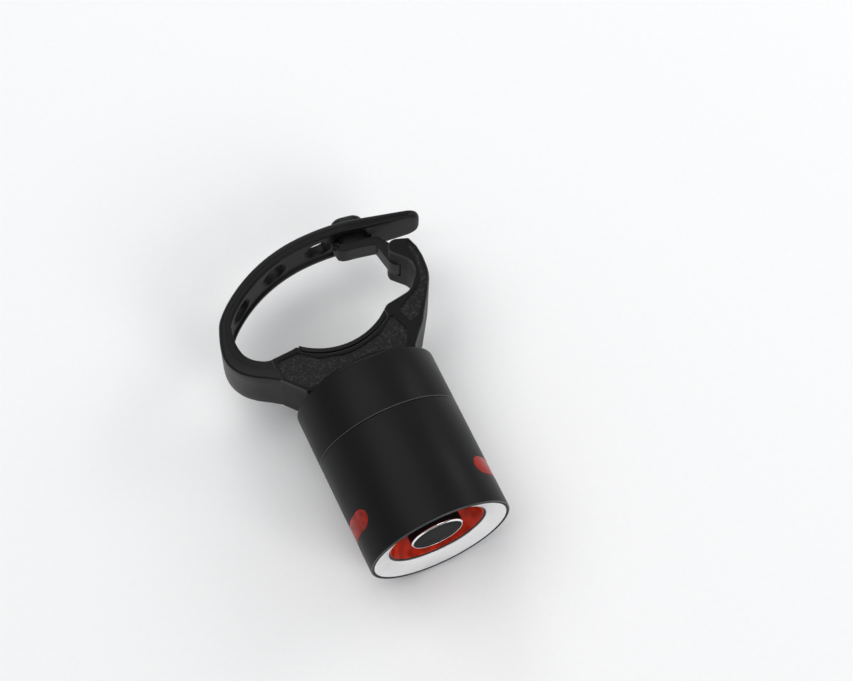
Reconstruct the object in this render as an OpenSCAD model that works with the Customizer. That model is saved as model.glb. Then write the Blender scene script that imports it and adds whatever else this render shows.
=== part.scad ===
// Bicycle rear light with a rubber strap mount, in millimetres.
// Z runs up along the seat post, the light shines towards -Y, and the origin is the post's centre.

/* [Post and saddle] */
// Radius of the seat post that the saddle fits
post_r = 13.6; // [12.5:0.1:15]
// Height of the saddle's lowest line above the rear cap
saddle_h = 7.2; // [6.8:0.1:9]
// Half of the saddle's width between its shoulders
saddle_x = 9; // [8:0.1:9.6]
// Thickness of the rubber pad in the saddle
pad_t = 1; // [0.6:0.1:1.4]

/* [Bracket] */
// Width of the bracket along the post
bracket_w = 12.5; // [11:0.1:14]
// Radius of the round foot on the rear cap
foot_r = 11; // [10:0.1:12]
// Height of the round foot
foot_h = 1.2; // [0.8:0.1:1.6]
// Half of the base's length, where the strap joins on
base_x = 15; // [14.4:0.1:15.6]
// Height of the base's outer corner above the cap
flare_h = 5.4; // [4.8:0.1:6]
// Height of the ledge beside the saddle
ledge_h = 10.1; // [9.8:0.1:10.6]
// Reach of the catch arm outside its pin
arm_reach = 3.8; // [3.5:0.1:4.2]
// Thickness of the catch arm
arm_t = 2.7; // [2.2:0.1:3.2]
// Distance of the catch pin past the stud, along the strap
pin_set = 7.9; // [7.6:0.1:8.2]
// Depth of the catch pin under the strap's outer face
pin_drop = 8.6; // [8.2:0.1:9]
// Depth of the grained panels in the two faces
panel_depth = 0.3; // [0.1:0.1:0.6]
// Width of the smooth border round a panel
panel_border = 1.2; // [0.8:0.1:1.8]

/* [Strap] */
// Width of the strap
strap_w = 10.6; // [10:0.1:11.4]
// Thickness of the strap
strap_t = 2.4; // [2.1:0.1:2.6]
// Width of the pull tab's end
tab_w = 6; // [5.4:0.1:7]
// Thickness of the pull tab's end
tab_t = 2; // [1.6:0.1:2.4]
// Straight length of the pull tab
tab_len = 12; // [11:0.1:14]
// Corner radius of the tab's end
tab_corner_r = 2; // [1:0.1:2.4]
// Bend radius at the strap's root
root_bend_r = 38.5; // [37.5:0.5:39.5]
// Bend radius at the strap's side
side_bend_r = 5; // [4.8:0.1:5.3]
// Bend radius at the strap's shoulder
shoulder_bend_r = 19.5; // [18.5:0.1:20.5]
// Bend radius over the crown
crown_bend_r = 31.5; // [31:0.1:32]
// Bend radius towards the tab
tail_bend_r = 46; // [45:0.5:47]
// Length of an adjusting slot
slot_len = 5; // [4:0.1:5.6]
// Width of an adjusting slot
slot_w = 4.2; // [3.5:0.1:6]
// Distance between adjusting slots
slot_pitch = 10.8; // [10.4:0.1:11]

/* [Catch] */
// Width of the catch plate and its knuckle
catch_w = 4.8; // [4.4:0.1:6]
// Thickness of the catch plate
catch_t = 2.6; // [2:0.1:2.8]
// Outer radius of the catch plate's knuckle
knuckle_r = 2; // [1.8:0.1:2.2]
// Radius of the catch pin
catch_pin_r = 0.75; // [0.5:0.05:0.9]
// Length of the stud along the strap
stud_len = 6.8; // [6:0.1:7]
// Width of the stud
stud_w = 4.4; // [3.6:0.1:4.4]
// Height of the stud above the strap
stud_rise = 2.6; // [2:0.1:3.2]

/* [Light body] */
// Outside diameter of the light
barrel_d = 28.6; // [28:0.1:30.6]
// Length of the light from the cap's rear to the front rim
light_len = 34.4; // [33.6:0.1:42]
// Length of the rear cap
cap_len = 11.3; // [10.8:0.1:12]
// Wall of the rear cap round its thread
cap_wall = 2.3; // [2:0.1:2.6]
// Wall of the barrel
barrel_wall = 1.6; // [1.4:0.1:1.9]
// Length of the threaded neck inside the cap
neck_len = 5.4; // [4.6:0.1:6]
// Break on the outer edges
edge_break = 0.4; // [0.2:0.05:0.6]

/* [Front] */
// Wall of the front rim round the bezel ring
rim_wall = 0.65; // [0.5:0.05:0.9]
// Height of the bezel ring
bezel_h = 1.8; // [1.7:0.1:2.2]
// Width of the bezel's sloping face
bezel_w = 3.6; // [3.1:0.05:3.8]
// Depth of the bezel's sloping face
cone_depth = 1.45; // [1.2:0.05:1.6]
// Width of the black lip inside the bezel
gasket_lip = 0.4; // [0.2:0.05:0.6]
// Thickness of the gasket between bezel and lens
gasket_t = 0.4; // [0.3:0.05:0.6]
// Thickness of the red lens
lens_t = 1; // [0.8:0.1:1.1]
// Depth of the lens dish behind its flange
dish_depth = 3.5; // [3:0.1:3.8]
// Run of the lens dish's sloping wall
dish_run = 2.25; // [1.8:0.05:2.5]

/* [Side windows] */
// Width of a side window along the light
window_w = 3.9; // [3.2:0.1:4.4]
// Distance of the windows' middle from the front rim
window_set = 8; // [6.5:0.1:11]
// Angle that a window covers
window_arc = 80; // [50:1:110]
// Turn of the head when it is screwed tight
head_clock = 3.7; // [-10:0.1:10]

/* [Button] */
// Width of the lens dish's floor outside the button
dish_floor_w = 2.1; // [1.9:0.05:2.4]
// Depth of the button's face behind the front rim
button_set = 1.4; // [1:0.1:1.8]
// Width of the bright ring on the button
trim_w = 0.35; // [0.25:0.05:0.6]
// Height of the bright ring
trim_h = 0.8; // [0.6:0.05:1]
// Travel of the button
button_travel = 0.6; // [0.3:0.05:0.7]

/* [Inside] */
// Depth of the LED board behind the front rim
board_set = 9; // [8.8:0.1:9.5]
// Thickness of the circuit boards
board_t = 1; // [0.8:0.1:1.2]
// Number of LEDs round the ring
led_count = 6; // [4:1:8]
// Side of one LED
led_side = 2.2; // [1.6:0.1:2.4]
// Height of one LED
led_h = 0.9; // [0.6:0.1:1.2]
// Room between the battery's sides and the barrel's bore
cell_side_room = 3.55; // [3.4:0.05:6]
// Room between the battery's top and the barrel's bore
cell_top_room = 6; // [5.8:0.1:8]
// Thickness of the cradle in front of the battery
cradle_end = 1.8; // [1.4:0.1:4]
// Distance of the board screws beyond the battery
board_screw_gap = 2; // [1.8:0.1:2.1]
// Length of the board screws
board_screw_len = 5; // [4:0.1:5.6]
// Width of the charging socket
socket_w = 8.9; // [8:0.1:9.4]
// Height of the charging socket
socket_h = 3.2; // [2.8:0.1:3.6]
// Thickness of the rubber seal on the neck
seal_d = 1; // [0.8:0.05:1.2]
// Distance of the cap screws from the middle
cap_screw_x = 5.5; // [4.5:0.1:6]
// Radius of the cap screws
cap_screw_r = 1.5; // [1.2:0.05:1.6]
// Length of the cap screws
cap_screw_len = 9; // [7:0.1:10]

/* [Fits] */
// Radial clearance of parts that sit in a bore
fit = 0.1; // [0.05:0.01:0.15]
// Radial clearance of parts that turn or slide
run_fit = 0.08; // [0.04:0.01:0.1]
// Gap between bodies that only pass each other
pass_gap = 0.3; // [0.2:0.05:0.4]
// Gap of a flexing joint in the strap
flex_gap = 0.15; // [0.1:0.01:0.2]

/* [Hidden] */
$fn = 72;
tiny = 0.01;
through = 40;

// Mount plane: x across the post, y measured from the rear cap's back face
cap_y = -(saddle_h + post_r);
half_w = bracket_w / 2;
post_y = saddle_h + post_r;
shoulder_y = post_y - sqrt(post_r * post_r - saddle_x * saddle_x);
seat_r = post_r + pad_t;
cap_screw_y = 0;

// Strap: arcs of the outer face from its root, each [radius, angle turned]
root_reach = 5.6;
root_rise = 1.1;
strap_start = [-base_x - root_reach, ledge_h + root_rise];
strap_heading = 102;
strap_arcs = [
    [root_bend_r, 12],
    [side_bend_r, 39],
    [shoulder_bend_r, 11],
    [crown_bend_r, 36],
    [tail_bend_r, 16]
];
arc_len = [for (a = strap_arcs) a[0] * a[1] * PI / 180];
bend_len = arc_len[0] + arc_len[1] + arc_len[2] + arc_len[3] + arc_len[4];
strap_len = bend_len + tab_len;
side_hinge_set = 0.8;
side_hinge = arc_len[0] + arc_len[1] + side_hinge_set;
slot_set = 4.6;
slot_count = 3;
first_slot = side_hinge + slot_set;
stud_set = 2.15;
stud_at = bend_len - stud_set;
stud_slot_from = stud_at - stud_len / 2 - pass_gap;
stud_slot_past = 0.8;
stud_slot_to = stud_at + stud_len / 2 + stud_slot_past;
stud_slot_w = stud_w + 2 * pass_gap;
taper_set = 3.1;
path_step = 1;
anchor_reach = 4.7;
anchor_drop = 1.3;
anchor_step = 2.2;
anchor_rise = 0.5;

// Catch arm, round a pin under the strap's tab
catch_pin_cover = 1.2;
pin_at = strap_point(stud_at + pin_set, pin_drop);
pin_x = pin_at[0];
pin_h = pin_at[1];
cheek_r = 1.8;
fork_half = catch_w / 2 + 0.2;
arm_x = pin_x + arm_reach;
arm_inner_x = arm_x - arm_t;
arm_foot = [arm_x - 2.1, ledge_h + 0.9];
arm_bend = [arm_x - 0.3, ledge_h + 4];
arm_neck_h = pin_h - 3.7;
arm_side = [arm_x - 0.2, pin_h - 1.3];
arm_tip = [arm_x - 0.9, pin_h + 0.9];
arm_shelf = [arm_inner_x, ledge_h + 5.5];
arm_corner = [arm_inner_x - 2.6, ledge_h + 2.3];

// Strap pin in the base's tongue
tongue_half = bracket_w / 4;
tongue_r = 1.1;
strap_pin_r = 0.5;
strap_pin_in = 1.6;
strap_pin_drop = 1.5;
strap_pin_at = [-base_x - strap_pin_in, ledge_h - strap_pin_drop];
strap_pin_len = strap_w - 2.5;

// Light body, along the light's axis from the rear cap's back face
barrel_r = barrel_d / 2;
split_gap = 0.1;
barrel_z = cap_len + split_gap;
bore_r = barrel_r - barrel_wall;
cap_bore_r = barrel_r - cap_wall;
neck_r = cap_bore_r - run_fit;
neck_z = barrel_z - neck_len;
cap_floor = neck_z - 0.5;
seal_z = barrel_z - 1;
seal_r = cap_bore_r - 0.03 - seal_d / 2;
groove_r = seal_r - seal_d / 2 - 0.04;
neck_bore_r = groove_r - 0.6;
neck_wall = 1;
plug_h = 2.2;
inner_r = bore_r - fit;
window_from = 3;

// Stack behind the front rim
seat_depth = bezel_h;
flange_set = seat_depth + gasket_t;
lens_back = flange_set + lens_t;
dish_set = flange_set + dish_depth;
cone_r = barrel_r - rim_wall - bezel_w;
gasket_r = cone_r - gasket_lip;
dish_r = gasket_r - dish_run;
button_r = dish_r - dish_floor_w;
lens_bore_r = button_r + 2 * run_fit;
collar_r = button_r + run_fit + 1.4;
collar_top = dish_set + lens_t + 0.2;
reflector_wall = 1;
reflector_floor = 0.8;
led_ring_r = (collar_r + inner_r - reflector_wall) / 2;
button_skirt = board_set - button_travel - reflector_floor;
skirt_wall = 1;
button_disc = 1.5;
switch_side = button_r - skirt_wall;
switch_h = 1.5;
plunger_r = 1;
plunger_set = board_set - switch_h - button_travel;
button_seal_h = 0.7;
button_seal_set = board_set - 1.2;
main_z = barrel_z + plug_h;
cradle_from = main_z + board_t;
cradle_to = light_len - board_set - board_t;
cell_gap = 0.2;
cell_w = 2 * (inner_r - cell_side_room);
cell_h = 2 * (inner_r - cell_top_room);
cell_len = cradle_to - cradle_from - cradle_end - cell_gap;
board_screw_set = cell_h / 2 + board_screw_gap;
cell_front = cradle_from + cell_len + cell_gap;
cable_gap = 1.7;
cable_x = cell_w / 2 + cable_gap;
cable_t = 0.3;
cable_w = 5;
chip_side = 3.2;
chip_h = 0.9;
chip_share = 0.47;
chip_at = chip_share * neck_bore_r;
screw_head_r = 1.4;
screw_head_h = 0.9;
board_screw_r = 0.7;
socket_front = neck_z + 0.5;
socket_depth = 5;
socket_wall = 0.3;
tongue_w = 6.6;
tongue_t = 0.7;

function clamp01(v) = max(0, min(1, v));

// Place and heading on the strap's outer face at a length from its root
function strap_at(s, i = 0, p = strap_start, h = strap_heading) =
    i == len(strap_arcs)
        ? [p[0] + s * cos(h), p[1] + s * sin(h), h]
        : let (r = strap_arcs[i][0], a = strap_arcs[i][1], e = h - min(s / r * 180 / PI, a))
          s <= arc_len[i]
              ? [p[0] + r * (sin(h) - sin(e)), p[1] - r * (cos(h) - cos(e)), e]
              : strap_at(
                    s - arc_len[i], i + 1,
                    [p[0] + r * (sin(h) - sin(h - a)), p[1] - r * (cos(h) - cos(h - a))], h - a
                );

function strap_depth(s) =
    strap_t + (tab_t - strap_t) * clamp01((s - bend_len) / tab_len);

// A point in the strap, at a depth under its outer face
function strap_point(s, depth) =
    let (p = strap_at(s)) [p[0] + depth * sin(p[2]), p[1] - depth * cos(p[2])];

function strap_steps(from, to) =
    let (n = ceil((to - from) / path_step)) [for (i = [0 : n]) from + (to - from) * i / n];

function outer_line(from, to) = [for (s = strap_steps(from, to)) strap_point(s, 0)];

function inner_line(from, to) = [for (s = strap_steps(from, to)) strap_point(from + to - s, strap_depth(from + to - s))];

function hinge_at(s) = strap_point(s, strap_t / 2);

// Moves a shape from the mount plane to its place
module on_mount() {
    translate([0, cap_y, 0])
        children();
}

// Turns a shape so that its z runs forward along the light
module on_light() {
    translate([0, cap_y, 0])
        rotate([90, 0, 0])
            children();
}

// Turns the head's shapes to where the thread stops
module on_head() {
    on_light()
        rotate([0, 0, head_clock])
            children();
}

// A slab along the post from an outline in the mount plane
module slab(width, outline) {
    translate([0, 0, -width / 2])
        linear_extrude(width)
            polygon(outline);
}

module post_rod(at, r, width) {
    translate([at[0], at[1], -width / 2])
        cylinder(r = r, h = width);
}

// A turned part from [radius, height] points
module turned(outline) {
    rotate_extrude()
        polygon(outline);
}

module tube(r_out, r_in, from, to) {
    turned([[r_in, from], [r_out, from], [r_out, to], [r_in, to]]);
}

// An oblong bar along z with round ends
module oblong(width, height, len) {
    translate([-(width - height) / 2, -height / 2, 0])
        cube([width - height, height, len]);
    for (side = [-1, 1])
        translate([side * (width - height) / 2, 0, 0])
            cylinder(d = height, h = len);
}

// Mount pieces

module base_outline() {
    slab(bracket_w, [
        [-base_x, flare_h],
        [-foot_r, foot_h - tiny],
        [foot_r, foot_h - tiny],
        [base_x, flare_h],
        arm_foot,
        arm_corner,
        [saddle_x + 1, ledge_h + 1.4],
        [saddle_x, shoulder_y],
        [-saddle_x, shoulder_y],
        [-base_x, ledge_h]
    ]);
}

module catch_arm() {
    slab(bracket_w, [
        arm_foot,
        arm_bend,
        [arm_x, arm_neck_h],
        arm_side,
        arm_tip,
        [pin_x + cheek_r / 4, pin_h + cheek_r - 5 * tiny],
        [pin_x - cheek_r + 5 * tiny, pin_h - cheek_r / 4],
        [arm_inner_x, arm_neck_h],
        arm_shelf,
        arm_corner
    ]);
    post_rod([pin_x, pin_h], cheek_r, bracket_w);
}

module catch_fork_cut() {
    post_rod([pin_x, pin_h], knuckle_r + pass_gap, 2 * fork_half);
    translate([pin_x - through, pin_h - knuckle_r - pass_gap, -fork_half])
        cube([through, 2 * knuckle_r + 2 * pass_gap, 2 * fork_half]);
    catch_pin_rod(tiny);
}

// The pin's rod, covered at its near end and open at the far one
module catch_pin_rod(past) {
    translate([pin_x, pin_h, -half_w - past])
        cylinder(r = catch_pin_r, h = bracket_w - catch_pin_cover + past);
}

module strap_tongue(grow, half) {
    post_rod(strap_pin_at, tongue_r + grow, 2 * half);
    translate([strap_pin_at[0], strap_pin_at[1] - tongue_r - grow, -half])
        cube([-base_x - strap_pin_at[0] + tiny, 2 * (tongue_r + grow), 2 * half]);
}

// The panel's outline, a border inside the base
module panel_cut() {
    for (face = [-1, 1])
        translate([0, 0, face * half_w])
            difference() {
                slab(2 * panel_depth, [
                    [-base_x + panel_border, flare_h + panel_border / 2],
                    [-foot_r + panel_border, foot_h + panel_border],
                    [foot_r - 2 * panel_border, foot_h + panel_border],
                    [foot_r, flare_h],
                    [saddle_x + panel_border, shoulder_y - panel_border],
                    [-saddle_x - panel_border / 2, shoulder_y - panel_border],
                    [-base_x + panel_border, ledge_h - panel_border]
                ]);
                post_rod([0, post_y], seat_r + panel_border, 4 * panel_depth);
            }
}

module cap_screw_places() {
    for (side = [-1, 1])
        translate([side * cap_screw_x, 0, cap_floor])
            rotate([180, 0, 0])
                children();
}

module bracket() {
    color("#2b2b2d")
        difference() {
            union() {
                on_light()
                    translate([0, 0, -foot_h])
                        cylinder(r = foot_r, h = foot_h);
                on_mount() {
                    difference() {
                        base_outline();
                        post_rod([0, post_y], seat_r + fit / 4, through);
                    }
                    catch_arm();
                    strap_tongue(0, tongue_half);
                }
            }
            on_mount() {
                catch_fork_cut();
                panel_cut();
                post_rod(strap_pin_at, strap_pin_r, through);
            }
            on_light()
                cap_screw_places()
                    cylinder(r = cap_screw_r, h = cap_screw_len + 0.3);
        }
}

module saddle_pad() {
    color("#1b1b1c")
        on_mount()
            intersection() {
                difference() {
                    post_rod([0, post_y], seat_r, bracket_w);
                    post_rod([0, post_y], post_r, bracket_w + 2 * tiny);
                }
                translate([-saddle_x + fit, 0, -half_w])
                    cube([2 * (saddle_x - fit), shoulder_y, bracket_w]);
            }
}

module rear_cap() {
    color("#1e1e20")
        on_light()
            difference() {
                turned([
                    [0, 0],
                    [barrel_r - 2 * edge_break, 0],
                    [barrel_r, 2 * edge_break],
                    [barrel_r, cap_len - edge_break / 2],
                    [barrel_r - edge_break / 2, cap_len],
                    [cap_bore_r, cap_len],
                    [cap_bore_r, cap_floor],
                    [0, cap_floor]
                ]);
                cap_screw_places() {
                    translate([0, 0, -tiny])
                        cylinder(r1 = 2 * cap_screw_r + fit / 2, r2 = cap_screw_r + fit / 2, h = cap_screw_r);
                    cylinder(r = cap_screw_r + fit / 2, h = cap_floor + tiny);
                }
            }
}

module cap_screws() {
    color("#8d8f93")
        on_light()
            cap_screw_places() {
                cylinder(r1 = 2 * cap_screw_r, r2 = cap_screw_r, h = cap_screw_r);
                cylinder(r = cap_screw_r, h = cap_screw_len);
            }
}

module strap_anchor() {
    color("#19191a")
        on_mount()
            difference() {
                union() {
                    slab(strap_w, concat(
                        [[-base_x, flare_h], [-base_x - anchor_reach, ledge_h - anchor_drop]],
                        outer_line(0, side_hinge),
                        inner_line(0, side_hinge),
                        [[-base_x - anchor_step, ledge_h + anchor_rise], [-base_x, ledge_h]]
                    ));
                    post_rod(hinge_at(side_hinge), strap_t / 2, strap_w);
                }
                strap_tongue(fit / 2, tongue_half + fit / 2);
                post_rod(strap_pin_at, strap_pin_r, strap_pin_len);
            }
}

module strap_pin() {
    color("#9a9ca0")
        on_mount()
            post_rod(strap_pin_at, strap_pin_r, strap_pin_len);
}

// An oblong hole through the strap, between two lengths along it
module strap_hole(from, to, width) {
    p = strap_at((from + to) / 2);
    translate([p[0], p[1], 0])
        rotate([0, 0, p[2]])
            rotate([90, 0, 0])
                translate([0, 0, -strap_t])
                    oblong(to - from, width, 3 * strap_t);
}

// The strap seen from its outer face, narrowing to the round corners of the tab
module strap_plan() {
    p = strap_at(bend_len);
    end = tab_len - tab_corner_r;
    translate([p[0], p[1], 0])
        rotate([0, 0, p[2]])
            rotate([90, 0, 0])
                translate([0, 0, -through]) {
                    linear_extrude(2 * through)
                        polygon([
                            [-through, -strap_w / 2],
                            [-taper_set, -strap_w / 2],
                            [end, -tab_w / 2],
                            [end, tab_w / 2],
                            [-taper_set, strap_w / 2],
                            [-through, strap_w / 2]
                        ]);
                    translate([end - tab_corner_r, tab_corner_r - tab_w / 2, 0])
                        cube([2 * tab_corner_r, tab_w - 2 * tab_corner_r, 2 * through]);
                    for (side = [-1, 1])
                        translate([end, side * (tab_w / 2 - tab_corner_r), 0])
                            cylinder(r = tab_corner_r, h = 2 * through);
                }
}

module strap() {
    color("#19191a")
        on_mount()
            difference() {
                intersection() {
                    slab(strap_w + 2 * tiny, concat(
                        outer_line(side_hinge, strap_len + tiny), inner_line(side_hinge, strap_len + tiny)
                    ));
                    strap_plan();
                }
                post_rod(hinge_at(side_hinge), strap_t / 2 + flex_gap, strap_w + 4 * tiny);
                for (i = [0 : slot_count - 1]) {
                    at = first_slot + i * slot_pitch;
                    strap_hole(at - slot_len / 2, at + slot_len / 2, slot_w);
                }
                strap_hole(stud_slot_from, stud_slot_to, stud_slot_w);
            }
}

module catch_pin() {
    color("#9a9ca0")
        on_mount()
            catch_pin_rod(0);
}

plate_top = strap_t + pass_gap;
plate_from = stud_at - stud_len / 2 - 1;
plate_to = stud_at + pin_set - 2.8;

module catch_plate() {
    color("#232325")
        on_mount()
            difference() {
                union() {
                    slab(catch_w, [
                        strap_point(plate_from, plate_top + catch_t / 2),
                        strap_point(plate_from, plate_top + catch_t / 5),
                        strap_point(plate_from + catch_t / 4, plate_top),
                        strap_point(stud_at, plate_top),
                        strap_point(plate_to, plate_top),
                        [pin_x + knuckle_r * 0.3, pin_h + knuckle_r * 0.9],
                        [pin_x - knuckle_r * 0.95, pin_h],
                        strap_point(plate_to - catch_t / 4, plate_top + catch_t),
                        strap_point(stud_at, plate_top + catch_t),
                        strap_point(plate_from + catch_t, plate_top + catch_t),
                        strap_point(plate_from + catch_t / 3, plate_top + catch_t * 0.8)
                    ]);
                    post_rod([pin_x, pin_h], knuckle_r, catch_w);
                }
                post_rod([pin_x, pin_h], catch_pin_r + run_fit, catch_w + 2 * tiny);
            }
}

// The stud, a domed block that stands on the plate and through the strap
module catch_stud() {
    p = strap_at(stud_at);
    dome_r = stud_len * 0.7;
    color("#232325")
        on_mount()
            translate([p[0], p[1], 0])
                rotate([0, 0, p[2]])
                    intersection() {
                        translate([0, stud_rise, 0])
                            rotate([90, 0, 0])
                                oblong(stud_len, stud_w, plate_top + stud_rise);
                        translate([0, stud_rise - dome_r, -stud_w])
                            cylinder(r = dome_r, h = 2 * stud_w);
                    }
}

// Head pieces

module neck_seal() {
    color("#101011")
        on_light()
            translate([0, 0, seal_z])
                rotate_extrude()
                    translate([seal_r, 0])
                        circle(d = seal_d, $fn = 32);
}

// A window's shape, an oblong milled in from one side
module window_shape(side, gap) {
    chord = 2 * barrel_r * sin(window_arc / 2);
    rotate([0, 0, side > 0 ? 0 : 180])
        translate([window_from, 0, light_len - window_set])
            rotate([90, 0, 90])
                oblong(chord - 2 * gap, window_w - 2 * gap, barrel_r);
}

module barrel() {
    color("#1e1e20")
        on_head()
            difference() {
                turned([
                    [bore_r, barrel_z],
                    [barrel_r - edge_break / 2, barrel_z],
                    [barrel_r, barrel_z + edge_break / 2],
                    [barrel_r, light_len - edge_break],
                    [barrel_r - edge_break, light_len],
                    [barrel_r - rim_wall, light_len],
                    [barrel_r - rim_wall, light_len - seat_depth],
                    [bore_r, light_len - seat_depth]
                ]);
                window_shape(-1, 0);
                window_shape(1, 0);
            }
}

module bezel_ring() {
    out_r = barrel_r - rim_wall - fit / 2;
    color("#c9cbce")
        on_head()
            turned([
                [out_r, light_len - 0.1],
                [out_r, light_len - seat_depth],
                [cone_r, light_len - seat_depth],
                [cone_r, light_len - cone_depth],
                [out_r - 0.15, light_len - 0.1]
            ]);
}

module lens_gasket() {
    color("#0f0f10")
        on_head()
            turned([
                [gasket_r, light_len - cone_depth - 0.15],
                [cone_r - fit / 2, light_len - cone_depth - 0.15],
                [cone_r - fit / 2, light_len - seat_depth],
                [inner_r, light_len - seat_depth],
                [inner_r, light_len - flange_set],
                [gasket_r, light_len - flange_set]
            ]);
}

module front_lens() {
    color("#b01f1a")
        on_head()
            turned([
                [inner_r, light_len - flange_set],
                [gasket_r, light_len - flange_set],
                [dish_r, light_len - dish_set],
                [lens_bore_r, light_len - dish_set],
                [lens_bore_r, light_len - dish_set - lens_t],
                [dish_r + lens_t / 2, light_len - dish_set - lens_t],
                [gasket_r + lens_t / 2, light_len - lens_back],
                [inner_r, light_len - lens_back]
            ]);
}

module side_lens(side) {
    color("#b01f1a")
        on_head()
            intersection() {
                window_shape(side, fit / 2);
                tube(barrel_r, bore_r, 0, light_len);
            }
}

module side_lens_right() {
    side_lens(1);
}

module side_lens_left() {
    side_lens(-1);
}

module led_places() {
    for (i = [0 : led_count - 1])
        rotate([0, 0, i * 360 / led_count])
            translate([led_ring_r, 0, 0])
                children();
}

module reflector() {
    board_front = light_len - board_set;
    color("#d8d9db")
        on_head()
            difference() {
                union() {
                    tube(inner_r, inner_r - reflector_wall, board_front, light_len - lens_back);
                    tube(inner_r, button_r + run_fit, board_front, board_front + reflector_floor);
                    tube(collar_r, button_r + run_fit, board_front, light_len - collar_top);
                }
                led_places()
                    translate([-led_side / 2 - fit, -led_side / 2 - fit, board_front - tiny])
                        cube([led_side + 2 * fit, led_side + 2 * fit, led_h + reflector_floor]);
                translate([0, 0, light_len - button_seal_set])
                    tube(button_r + 0.8, button_r - tiny, 0, button_seal_h);
            }
}

module button_cap() {
    face = light_len - button_set;
    color("#151516")
        on_head() {
            turned([
                [0, face - 0.05],
                [button_r - trim_w, face - 0.05],
                [button_r - trim_w, face - trim_h],
                [button_r, face - trim_h],
                [button_r, light_len - button_skirt],
                [button_r - skirt_wall, light_len - button_skirt],
                [button_r - skirt_wall, face - button_disc],
                [plunger_r + 0.4, face - button_disc],
                [plunger_r + 0.4, light_len - plunger_set],
                [0, light_len - plunger_set]
            ]);
        }
}

module button_trim() {
    face = light_len - button_set;
    color("#dcdee0")
        on_head()
            turned([
                [button_r - trim_w + 0.02, face],
                [button_r - trim_w + 0.1, face],
                [button_r, face - trim_w + 0.1],
                [button_r, face - trim_h],
                [button_r - trim_w + 0.02, face - trim_h]
            ]);
}

module switch_plunger() {
    color("#b98a3a")
        on_head()
            translate([0, 0, light_len - plunger_set - button_travel - 0.2])
                cylinder(r = plunger_r, h = button_travel + 0.2);
}

module button_seal() {
    color("#101011")
        on_head()
            translate([0, 0, light_len - button_seal_set])
                tube(button_r + 0.8 - fit / 2, button_r + run_fit / 2, fit / 2, button_seal_h - fit / 2);
}

module tact_switch() {
    color("#3a3a3d")
        on_head()
            difference() {
                translate([-switch_side / 2, -switch_side / 2, light_len - board_set])
                    cube([switch_side, switch_side, switch_h]);
                translate([0, 0, light_len - board_set + switch_h - 2 * button_travel])
                    cylinder(r = plunger_r + run_fit, h = 2 * button_travel + tiny);
            }
}

module led_board() {
    color("#1f5a33")
        on_head()
            translate([0, 0, light_len - board_set - board_t])
                cylinder(r = inner_r, h = board_t);
}

module leds() {
    color("#f2e6c8")
        on_head()
            led_places()
                translate([-led_side / 2, -led_side / 2, light_len - board_set])
                    cube([led_side, led_side, led_h]);
}

module board_screw_places() {
    for (side = [-1, 1])
        translate([0, side * board_screw_set, main_z])
            children();
}

module cell_cradle() {
    color("#2f3033")
        on_head()
            difference() {
                translate([0, 0, cradle_from])
                    cylinder(r = inner_r, h = cradle_to - cradle_from);
                translate([-cell_w / 2 - cell_gap, -cell_h / 2 - cell_gap, cradle_from - tiny])
                    cube([cell_w + 2 * cell_gap, cell_h + 2 * cell_gap, cell_len + 2 * cell_gap]);
                translate([cable_x - cable_t / 2 - cell_gap, -cable_w / 2 - cell_gap, cradle_from - tiny])
                    cube([cable_t + 2 * cell_gap, cable_w + 2 * cell_gap, through]);
                board_screw_places()
                    cylinder(r = board_screw_r, h = board_screw_len + 0.3);
            }
}

module battery() {
    color("#3f6fa8")
        on_head()
            translate([-cell_w / 2, -cell_h / 2, cell_front - cell_len])
                cube([cell_w, cell_h, cell_len]);
}

module flex_cable() {
    color("#c98a2b")
        on_head()
            translate([cable_x - cable_t / 2, -cable_w / 2, cradle_from])
                cube([cable_t, cable_w, cradle_to - cradle_from]);
}

module main_board() {
    color("#1f5a33")
        on_head()
            difference() {
                translate([0, 0, main_z])
                    cylinder(r = inner_r, h = board_t);
                translate([0, 0, -tiny])
                    board_screw_places()
                        cylinder(r = board_screw_r + fit, h = board_t + 2 * tiny);
            }
}

module board_chips() {
    color("#161618")
        on_head()
            for (at = [[-chip_at, chip_at], [chip_at, chip_at], [-chip_at, -chip_at]])
                translate([at[0] - chip_side / 2, at[1] - chip_side / 2, main_z - chip_h])
                    cube([chip_side, chip_side, chip_h]);
}

module board_screws() {
    color("#9a9ca0")
        on_head()
            board_screw_places() {
                translate([0, 0, -screw_head_h])
                    cylinder(r = screw_head_r, h = screw_head_h);
                cylinder(r = board_screw_r, h = board_screw_len);
            }
}

module charge_socket() {
    color("#b4b6b9")
        on_head()
            translate([0, 0, socket_front]) {
                difference() {
                    oblong(socket_w, socket_h, main_z - socket_front);
                    translate([0, 0, -tiny])
                        oblong(socket_w - 2 * socket_wall, socket_h - 2 * socket_wall, socket_depth);
                }
                translate([-tongue_w / 2, -tongue_t / 2, 0.5])
                    cube([tongue_w, tongue_t, socket_depth]);
            }
}

module tail_plug() {
    groove = seal_d + 0.2;
    color("#222224")
        on_head()
            difference() {
                turned([
                    [0, neck_z],
                    [neck_r - edge_break, neck_z],
                    [neck_r, neck_z + edge_break],
                    [neck_r, seal_z - groove / 2],
                    [groove_r, seal_z - groove / 2],
                    [groove_r, seal_z + groove / 2],
                    [neck_r, seal_z + groove / 2],
                    [neck_r, barrel_z],
                    [inner_r, barrel_z],
                    [inner_r, main_z],
                    [neck_bore_r, main_z],
                    [neck_bore_r, neck_z + neck_wall],
                    [0, neck_z + neck_wall]
                ]);
                translate([0, 0, neck_z - tiny])
                    oblong(socket_w + 2 * fit, socket_h + 2 * fit, neck_wall + 2 * tiny);
            }
}

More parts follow.
